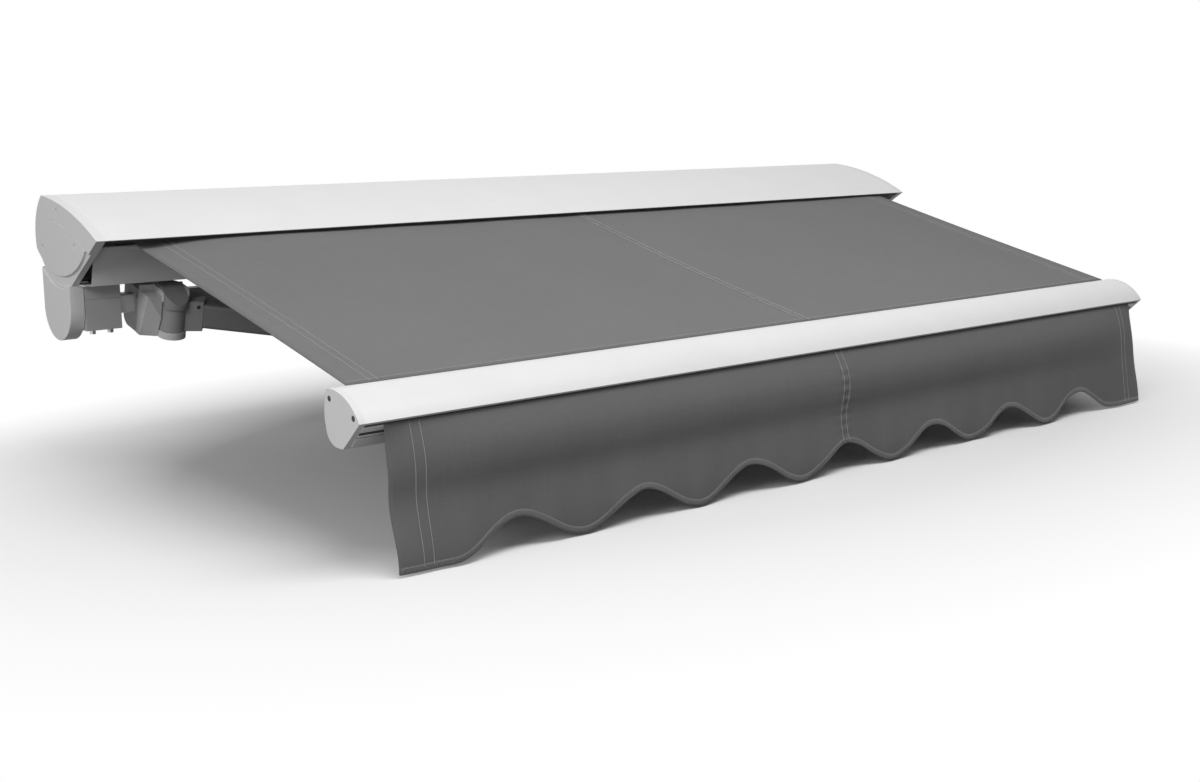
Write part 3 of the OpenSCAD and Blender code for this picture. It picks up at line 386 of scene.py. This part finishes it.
def canopy_n(x, s):
    """Height of the canopy's middle over the slope: a belly, a slack left edge that drops towards the lip,
    a tighter hem, and puckers along the seams."""
    t = (s - CLOTH_FRONT) / (CLOTH_BACK - CLOTH_FRONT)
    u = x / CLOTH_HALF
    hang = math.sin(math.pi * t)
    belly = -BELLY * hang * (1 - 0.6 * u * u)
    edge = CLOTH_HALF - abs(x)
    slack = 0.0
    if x < 0:
        slack = -SLACK * min(t * CLOTH_RUN, 1.0) ** 1.9 * (1 - smooth_step(s / (CLOTH_BACK - 0.01)))
        slack *= math.exp(-(edge / SLACK_WIDTH) ** 2)
    tight = 0.0016 * hang * math.exp(-((edge - HEM) / 0.05) ** 2)
    pucker = 0.0005 * math.sin(2 * math.pi * s / 0.037 + 3 * u) * math.exp(-((x - CLOTH_SEAM) / 0.035) ** 2)
    pucker += 0.0005 * math.sin(2 * math.pi * s / 0.052) * math.exp(-((edge - HEM * 0.8) / 0.03) ** 2)
    drawn = 0.0009 * hang * math.sin(2 * math.pi * (x / 0.31 + 0.4 * s)) * (0.4 + 0.6 * t)
    return CLOTH_N + belly + slack + tight + (pucker + drawn) * min(1.0, 8 * t, 8 * (1 - t))


def canopy_band(x0, x1, s0, s1, low, high, across, along):
    """A closed strip that follows the canopy, from low to high above its middle."""
    def grid(lift):
        return [[slope_point(x0 + (x1 - x0) * j / across, s0 + (s1 - s0) * i / along,
                             canopy_n(x0 + (x1 - x0) * j / across, s0 + (s1 - s0) * i / along) + lift)
                 for j in range(across + 1)] for i in range(along + 1)]
    return grid_solid(grid(high), grid(low))


def canopy_path(x0, s0, x1, s1, lift, steps=90):
    """Points along the canopy, lifted off its middle."""
    found = []
    for i in range(steps + 1):
        x, s = x0 + (x1 - x0) * i / steps, s0 + (s1 - s0) * i / steps
        found.append(slope_point(x, s, canopy_n(x, s) + lift))
    return found


def flatten(piece):
    """Gives a piece of the canopy its own copy of its mesh."""
    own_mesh(piece)


def make_canopy():
    half = CLOTH_T / 2
    sheet = canopy_band(-CLOTH_HALF, CLOTH_HALF, CLOTH_FRONT, CLOTH_BACK, -half, half, 150, 60)
    cloth = add_mesh("canopy_cloth", *sheet, CANOPY_CLOTH, "root")
    parts = [cloth]
    front, back = CLOTH_FRONT + 0.001, CLOTH_BACK - 0.001
    lap = canopy_band(CLOTH_SEAM - LAP_HALF, CLOTH_SEAM + LAP_HALF, front, back,
                      half - SUNK, half + LAP_T, 6, 90)
    parts.append(add_mesh("canopy_seam_lap", *lap, CANOPY_CLOTH, "root"))
    for side in (-1, 1):
        hand = "left" if side < 0 else "right"
        outer, inner = side * (CLOTH_HALF - 0.0005), side * (CLOTH_HALF - HEM)
        hem = canopy_band(min(outer, inner), max(outer, inner), front, back,
                          -half - HEM_T, -half + SUNK, 8, 60)
        parts.append(add_mesh("canopy_hem_" + hand, *hem, CANOPY_CLOTH, "root"))
        for row, inset in HEM_ROWS:
            x = side * (CLOTH_HALF - inset)
            path = canopy_path(x, CLOTH_FRONT + ROW_END, x, CLOTH_BACK - ROW_END, half)
            parts.append(stitches(f"canopy_hem_stitches_{hand}_{row}", path, HEM_THREAD, "root",
                                  STITCH_LONG, STITCH_PITCH, STITCH_R, NORMAL))
    for row, x in (("a", CLOTH_SEAM - LAP_ROW), ("b", CLOTH_SEAM + LAP_ROW)):
        path = canopy_path(x, CLOTH_FRONT + ROW_END, x, CLOTH_BACK - ROW_END, half + LAP_T)
        parts.append(stitches("canopy_seam_stitches_" + row, path, STITCH, "root",
                              STITCH_LONG, STITCH_PITCH, STITCH_R, NORMAL))
    line = CLOTH_FRONT + FRONT_ROW
    path = canopy_path(-CLOTH_HALF + 0.006, line, CLOTH_HALF - 0.006, line, half, 240)
    parts.append(stitches("canopy_front_stitches", path, HEM_THREAD, "root",
                          STITCH_LONG, STITCH_PITCH, FINE_STITCH_R, NORMAL))
    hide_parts("canopy")
    for piece in parts:
        flatten(piece)


# Valance

CUT = math.radians(44)  # the bar's cut face, under the horizontal
DOWN_CUT = Vector((0.0, math.cos(CUT), -math.sin(CUT)))
OFF_CUT = Vector((0.0, -math.sin(CUT), -math.cos(CUT)))
TIP_RISE = 0.0208  # from the CAD valance's top up to the bar's tip
TIP = Vector((0.0, BAR_LOW[1], VALANCE_HIGH[2] + TIP_RISE))
GROOVES = ((0.0050, 0.0110), (0.0250, 0.0345), (0.0395, 0.0425))  # start and end along the cut face
VALANCE_TOP = TIP + DOWN_CUT * 0.0098
VALANCE_H = 0.2465
SCALLOP_PITCH, SCALLOP_H, SCALLOP_SHIFT, NOTCHES = 0.292, 0.055, 0.012, 3
VALANCE_SEAM = -0.0145
VALANCE_T = 0.0010
VALANCE_HEM = 0.070
VALANCE_HEM_ROWS = (("outer", 0.048), ("inner", 0.067))
VALANCE_LAP, VALANCE_LAP_ROW = 0.013, 0.009
EDGE_BAND, EDGE_T = 0.011, 0.0004
SIDE_LEAN = 0.08  # how far in from its side edges the valance still leans with them
# Steps of the left half's lean to the front: how far, below which drop, over how long a drop.
HANG_STEP, FLARE_STEP, CORNER_STEP = (0.008, 0.0, 0.10), (0.016, 0.11, 0.13), (0.0105, 0.125, 0.135)
RIGHT_SLOPE, RIGHT_CORNER_SLOPE = 0.12, 0.07
ROLLED, ROLLED_DROP = 0.021, 0.065
OVERLOCK_LONG, OVERLOCK_PITCH, OVERLOCK_TURN = 0.0135, 0.0048, math.radians(60)


def valance_depth(x):
    """Depth of the valance at x: lobes and notches between plain ends."""
    if abs(x + SCALLOP_SHIFT) > (NOTCHES + 0.5) * SCALLOP_PITCH:
        return VALANCE_H
    return VALANCE_H - SCALLOP_H / 2 * (1 + math.cos(2 * math.pi * (x + SCALLOP_SHIFT) / SCALLOP_PITCH))


def lean(step, d):
    far, start, run = step
    return far * smooth_step((d - start) / run)


def valance_forward(x, d):
    """How far the valance stands before its groove: it rolls over, hangs down and flares at the bottom on the
    left, and leans out evenly at the right end."""
    near = math.exp(-(VALANCE_HALF - abs(x)) / SIDE_LEAN)
    left = lean(HANG_STEP, d) + lean(FLARE_STEP, d) + near * lean(CORNER_STEP, d)
    right = (RIGHT_SLOPE + RIGHT_CORNER_SLOPE * near) * d
    rolled = ROLLED * (1 - near) * math.sin(math.pi / 2 * min(d / ROLLED_DROP, 1.0))
    rolled *= 1 - 0.25 * smooth_step((d - 0.07) / 0.07)
    return left + (right - left) * smooth_step((x / VALANCE_HALF - 0.2) / 0.8) + rolled


def valance_point(x, d, forward=0.0):
    """A point of the valance at a drop d under its groove, with an offset towards the front."""
    t = d / VALANCE_H
    wave = 0.0035 * math.sin(2 * math.pi * x / 0.43 + 1.1)
    wave += 0.0022 * math.sin(2 * math.pi * x / 0.187 + 0.4)
    wave += 0.0013 * math.sin(2 * math.pi * (x / 0.093 + 0.6 * t))
    pucker = 0.0007 * math.sin(2 * math.pi * d / 0.021) * math.exp(-((x - VALANCE_SEAM) / 0.03) ** 2)
    side = VALANCE_HALF - abs(x)
    curl = 0.0010 * math.sin(2 * math.pi * (d / 0.13 + 0.1)) * math.exp(-(side / 0.030) ** 2)
    free = min(1.0, 6 * t)
    wave *= 1 - math.exp(-side / SIDE_LEAN)
    y = wave * t ** 1.5 + (pucker + curl) * free - forward - valance_forward(x, d)
    return VALANCE_TOP + Vector((x, y, -d))


def valance_normal(point):
    """The valance's direction to the front at a point of it."""
    d = min(max(VALANCE_TOP.z - point[2], 0.001), VALANCE_H)
    fall = valance_point(point[0], d + 0.001) - valance_point(point[0], d - 0.001)
    return fall.cross(Vector((1.0, 0.0, 0.0))).normalized()


def valance_band(xs, rows, top, low, high, up=0.0):
    """A closed piece that follows the valance between two offsets, from a drop down to the cut edge."""
    def grid(forward):
        return [[valance_point(x, top(x) + (valance_depth(x) - up - top(x)) * i / rows, forward) for x in xs]
                for i in range(rows + 1)]
    return grid_solid(grid(high), grid(low))


def make_valance():
    half = VALANCE_T / 2
    xs = spaced(-VALANCE_HALF, VALANCE_HALF, 0.0095)
    sheet = valance_band(xs, 30, lambda x: 0.0, -half, half)
    cloth = add_mesh("valance_cloth", *sheet, VALANCE_CLOTH, "front_bar")
    edge = valance_band(spaced(-VALANCE_HALF + 0.001, VALANCE_HALF - 0.001, 0.0095), 3,
                        lambda x: valance_depth(x) - EDGE_BAND, -half - EDGE_T, half + EDGE_T, -0.0006)
    add_mesh("valance_edge", *edge, VALANCE_CLOTH, "front_bar")
    for face, lift in (("front", half + LAP_T), ("back", -half - LAP_T)):
        rim = [valance_point(x, valance_depth(x) - 0.0052, lift)
               for x in spaced(-VALANCE_HALF + 0.004, VALANCE_HALF - 0.004, 0.004)]
        stitches("valance_edge_stitches_" + face, rim, EDGE_THREAD, "front_bar",
                              OVERLOCK_LONG, OVERLOCK_PITCH, 0.0007, valance_normal, OVERLOCK_TURN)
    rim = [valance_point(x, valance_depth(x) + 0.0004)
           for x in spaced(-VALANCE_HALF + 0.002, VALANCE_HALF - 0.002, 0.004)]
    stitches("valance_edge_chain", rim, EDGE_THREAD, "front_bar",
                          0.0054, OVERLOCK_PITCH, 0.0008, valance_normal)
    lap = valance_band(spaced(VALANCE_SEAM - VALANCE_LAP, VALANCE_SEAM + VALANCE_LAP, 0.004), 60,
                       lambda x: 0.001, half - SUNK, half + LAP_T, ROW_END)
    add_mesh("valance_seam_lap", *lap, VALANCE_CLOTH, "front_bar")
    for name, x0 in (("a", VALANCE_SEAM - VALANCE_LAP_ROW), ("b", VALANCE_SEAM + VALANCE_LAP_ROW)):
        depth = valance_depth(x0) - ROW_END
        path = [valance_point(x0 + 0.003 * math.sin(2 * math.pi * i / 60), 0.002 + (depth - 0.002) * i / 60,
                              half + LAP_T) for i in range(61)]
        stitches("valance_seam_stitches_" + name, path, STITCH, "front_bar",
                              STITCH_LONG, STITCH_PITCH, STITCH_R, valance_normal)
    for side in (-1, 1):
        hand = "left" if side < 0 else "right"
        for row, inset in VALANCE_HEM_ROWS:
            x0 = side * (VALANCE_HALF - inset)
            depth = valance_depth(x0) - ROW_END
            path = [valance_point(x0, 0.002 + (depth - 0.002) * i / 60, half) for i in range(61)]
            stitches(f"valance_hem_stitches_{hand}_{row}", path, STITCH, "front_bar",
                                  STITCH_LONG, STITCH_PITCH, FINE_STITCH_R, valance_normal)
        outer, inner = side * (VALANCE_HALF - 0.0006), side * (VALANCE_HALF - VALANCE_HEM)
        hem = valance_band(spaced(min(outer, inner), max(outer, inner), 0.009), 24,
                           lambda x: 0.001, -half - HEM_T, -half + SUNK, 0.002)
        add_mesh("valance_hem_" + hand, *hem, VALANCE_CLOTH, "front_bar")
    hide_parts("valance")
    fall = sum((valance_point(0, VALANCE_H * (i + 1) / 50) - valance_point(0, VALANCE_H * i / 50)).length
               for i in range(50))


# The front bar's cut face

FACE_END = 0.066
RIB_PROUD, GROOVE_PROUD = 0.0016, 0.0004
RIB_BEVEL = 0.4  # as a share of what stands proud


def make_bar_face():
    """Ribs along the bar's cut face, with near-black strips in the groove bottoms as painted shade; the first
    groove carries the valance.
    """
    low, high = BAR_LOW[0] + 0.0005, BAR_HIGH[0] - 0.0005
    ends = [groove[0] for groove in GROOVES[1:]] + [FACE_END]
    ribs = [(groove[1], end, RIB_PROUD, WHITE_COAT) for groove, end in zip(GROOVES, ends)]
    # The strips in the groove bottoms are near-black: painted shade.
    shade_strips = [(a, b, GROOVE_PROUD, SEAL_AND_PAINTED_SHADE) for a, b in GROOVES]
    for count, (a, b, proud, material) in enumerate(ribs + shade_strips):
        bevel = RIB_BEVEL * proud
        outline = ((a, 0.0), (a, proud - bevel), (a + bevel, proud),
                   (b - bevel, proud), (b, proud - bevel), (b, 0.0))
        points = [TIP + DOWN_CUT * along + OFF_CUT * off + Vector((x, 0.0, 0.0))
                  for x in (low, high) for along, off in outline]
        faces = [(k, (k + 1) % 6, 6 + (k + 1) % 6, 6 + k) for k in range(6)]
        faces += [tuple(reversed(range(6))), tuple(range(6, 12))]
        piece = add_mesh(f"bar_face_{count}", points, faces, material, "front_bar", False)


# Small openings in the arms' root castings, their insides painted shade

HOLE_PLACE = (0.9873, -0.207, -0.0229)
HOLE_FACE = (0.271, -0.934, -0.233)
HOLE_SUNK = 0.0004
HOLE_SIDES = 24
RIM_RINGS = ((0.0062, 0.0), (0.0060, 0.0011), (0.0050, 0.0012), (0.0040, 0.0002))  # radius, lift
# The hole itself is a near-black disc: painted shade.
HOLE_SHADE_RINGS = ((0.0042, 0.0), (0.0041, 0.0006), (0.0002, 0.0006))


def make_casting_holes():
    """A chamfered rim in the front face of each root casting, round a near-black disc that paints the shade
    inside a tapped hole.
    """
    for side, body in ((-1, "upper_arm_left"), (1, "upper_arm_right")):
        out = Vector((side * HOLE_FACE[0], *HOLE_FACE[1:])).normalized()
        across = out.cross(Vector((0.0, 0.0, 1.0))).normalized()
        up = across.cross(out)
        centre = Vector((side * HOLE_PLACE[0], *HOLE_PLACE[1:])) - out * HOLE_SUNK
        for name, rings, material in (("rim", RIM_RINGS, SHADED_ROOT_COAT), ("hole", HOLE_SHADE_RINGS, SEAL_AND_PAINTED_SHADE)):
            points, sides = [], HOLE_SIDES
            for radius, lift in rings:
                for k in range(sides):
                    turn = 2 * math.pi * k / sides
                    spoke = across * math.cos(turn) + up * math.sin(turn)
                    points.append(centre + out * lift + spoke * radius)
            faces = [(i * sides + k, i * sides + (k + 1) % sides,
                      (i + 1) * sides + (k + 1) % sides, (i + 1) * sides + k)
                     for i in range(len(rings) - 1) for k in range(sides)]
            last = (len(rings) - 1) * sides
            faces += [tuple(reversed(range(sides))), tuple(range(last, last + sides))]
            if side > 0:
                faces = [tuple(reversed(face)) for face in faces]
            piece = add_mesh(f"casting_{name}_{body}", points, faces, material, body)


# Cloth wound on the roller

ROLL_INNER = 0.0391
ROLL_TURNS, ROLL_SIDES = 5, 96
ROLL_FILL = 0.92  # the wound cloth's thickness against the step from turn to turn


def make_roll():
    """The spare turns as one long sheet in a spiral round the tube."""
    axis = Vector((0.0, (ROLL_LOW[1] + ROLL_HIGH[1]) / 2, (ROLL_LOW[2] + ROLL_HIGH[2]) / 2))
    outer = (ROLL_HIGH[1] - ROLL_LOW[1]) / 2
    step = (outer - ROLL_INNER) / ROLL_TURNS
    front, back = [], []
    for i in range(ROLL_TURNS * ROLL_SIDES + 1):
        angle = 2 * math.pi * i / ROLL_SIDES
        radius = ROLL_INNER + step * i / ROLL_SIDES
        out = Vector((0.0, math.cos(angle), math.sin(angle)))
        for rows, r in ((front, min(radius, outer - 0.0002)), (back, radius - ROLL_FILL * step)):
            rows.append([axis + out * max(r, ROLL_INNER) + Vector((x, 0.0, 0.0))
                         for x in spaced(-CLOTH_HALF + 0.0005, CLOTH_HALF - 0.0005, 0.4)])
    roll = add_mesh("wound_cloth", *grid_solid(front, back), CANOPY_CLOTH, "roller")
    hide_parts("cloth_roll")


# Stage and camera

LAMPS = (  # name, place, target, size, power
    ("top", (-0.3, -2.1, 3.0), (-0.1, -0.6, 0.0), (3.4, 1.4), 75.0),
    ("left", (-3.9, -1.9, 1.6), (-0.8, -0.6, 0.0), (1.8, 1.2), 44.0),
    ("low_left", (-3.1, -3.3, 0.2), (-1.1, -0.4, 0.0), (1.0, 0.8), 7.0),
)
WORLD_LIGHT = 0.24
FLOOR_PLACE = (0.0, -0.62, -0.357)
FLOOR_GREY, FLOOR_BOUNCE = 0.93, 0.16  # as the camera sees it, and its share for other light
FADE_NEAR, FADE_FAR = 0.75, 1.35
CAMERA_LENS, CAMERA_PLACE = 45.65, (-2.4552, -3.1791, 0.4085)
CAMERA_RIGHT, CAMERA_UP = Vector((0.752911, -0.658121, 0.000881)), Vector((0.122678, 0.141661, 0.982284))


def light_area(name, place, target, size, power):
    lamp = bpy.data.lights.new(name, "AREA")
    lamp.shape = "RECTANGLE"
    lamp.size, lamp.size_y = size
    lamp.energy = power
    holder = bpy.data.objects.new(name, lamp)
    bpy.context.scene.collection.objects.link(holder)
    holder.location = place
    holder.rotation_mode = "QUATERNION"
    holder.rotation_quaternion = (Vector(target) - Vector(place)).to_track_quat("-Z", "Y")


def make_world():
    """A soft even light; what the camera, gloss and glass see of it is white."""
    world = bpy.data.worlds.new("studio")
    world.use_nodes = True
    bpy.context.scene.world = world
    tree = world.node_tree
    tree.nodes.clear()
    path = tree.nodes.new("ShaderNodeLightPath").outputs
    seen = maths(tree, "MAXIMUM", path["Is Camera Ray"], path["Is Glossy Ray"])
    seen = maths(tree, "MAXIMUM", seen, path["Is Transmission Ray"])
    strength = ramp(tree, seen, 0.0, 1.0, WORLD_LIGHT, 1.0)
    light = node(tree, "ShaderNodeBackground", {"Color": (1, 1, 1, 1), "Strength": strength})
    out = node(tree, "ShaderNodeOutputWorld")
    tree.links.new(light.outputs["Background"], out.inputs["Surface"])


def make_floor():
    """A pale floor that keeps the object's shadow and fades to white away from it."""
    material, tree, shader = new_material("floor")
    shader.inputs["Roughness"].default_value = 0.9
    shader.inputs["Specular IOR Level"].default_value = 0.0
    white = node(tree, "ShaderNodeEmission", {"Color": (1, 1, 1, 1), "Strength": 1.0})
    place = tree.nodes.new("ShaderNodeTexCoord").outputs["Object"]
    spread = node(tree, "ShaderNodeMapping", {"Vector": place, "Scale": (0.62, 1.0, 1.0)})
    away = node(tree, "ShaderNodeVectorMath", {0: spread.outputs["Vector"]}, operation="LENGTH")
    fade = ramp(tree, away.outputs["Value"], FADE_NEAR, FADE_FAR, 0.0, 1.0)
    path = tree.nodes.new("ShaderNodeLightPath").outputs
    seen = maths(tree, "MAXIMUM", path["Is Camera Ray"], path["Is Glossy Ray"])
    tone = ramp(tree, seen, 0.0, 1.0, FLOOR_BOUNCE, 1.0)
    tree.links.new(shade(tree, grey(FLOOR_GREY), tone), shader.inputs["Base Color"])
    fade = maths(tree, "MULTIPLY", fade, seen)
    both = node(tree, "ShaderNodeMixShader",
                {0: fade, 1: shader.outputs["BSDF"], 2: white.outputs["Emission"]})
    tree.links.new(both.outputs["Shader"], tree.nodes["Material Output"].inputs["Surface"])
    bpy.ops.mesh.primitive_plane_add(size=60)
    floor = bpy.context.object
    floor.name = "floor"
    floor.location = FLOOR_PLACE
    floor.data.materials.append(material)


def make_camera():
    lens = bpy.data.cameras.new("photo_view")
    lens.lens, lens.sensor_width, lens.sensor_fit = CAMERA_LENS, 36.0, "HORIZONTAL"
    lens.clip_start, lens.clip_end = 0.05, 200.0
    camera = bpy.data.objects.new("photo_view", lens)
    bpy.context.scene.collection.objects.link(camera)
    back = CAMERA_RIGHT.cross(CAMERA_UP)
    turned = Matrix((CAMERA_RIGHT, CAMERA_UP, back)).transposed()
    camera.matrix_world = Matrix.Translation(CAMERA_PLACE) @ turned.to_4x4()
    bpy.context.scene.camera = camera


def set_stage():
    make_world()
    make_floor()
    make_camera()
    for lamp in LAMPS:
        light_area(*lamp)
    bpy.context.scene.view_settings.view_transform = "Standard"


set_stage()
dress_cad()
make_canopy()
make_valance()
make_bar_face()
make_casting_holes()
make_roll()

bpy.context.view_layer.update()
import json
